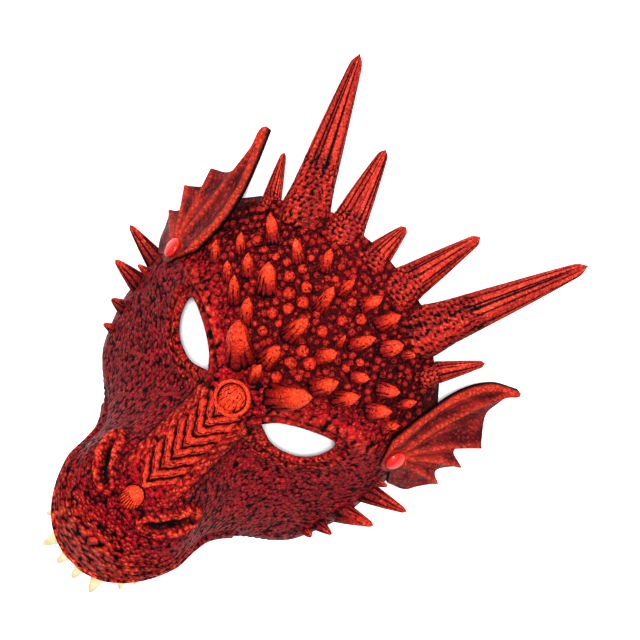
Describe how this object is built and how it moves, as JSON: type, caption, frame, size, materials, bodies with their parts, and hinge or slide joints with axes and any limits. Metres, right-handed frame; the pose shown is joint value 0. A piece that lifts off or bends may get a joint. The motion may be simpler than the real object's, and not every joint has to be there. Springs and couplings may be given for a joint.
{
  "type": "dragon mask",
  "caption": "Moulded foam dragon half mask with horned crown, riveted bat-wing ear fins, ridged snout and upper teeth, airbrushed crimson and orange over black",
  "frame": {"origin": "Middle of the bounding box, on the plane of the flat back rims that the mask lies on", "axes": "+Z is the way the face looks, +Y points to the crown horns, +X to the wearer's left"},
  "size_m": [0.2204, 0.314, 0.1122],
  "materials": {
    "shell": "airbrushed crimson with orange high points over black foam, half gloss",
    "fin": "maroon web with orange ribs, satin",
    "rivet": "smooth glossy red"
  },
  "bodies": {
    "root": {"mask_shell": "shell", "fin_left": "fin", "fin_right": "fin", "rivet_left": "rivet", "rivet_right": "rivet"}
  },
  "joints": []
}
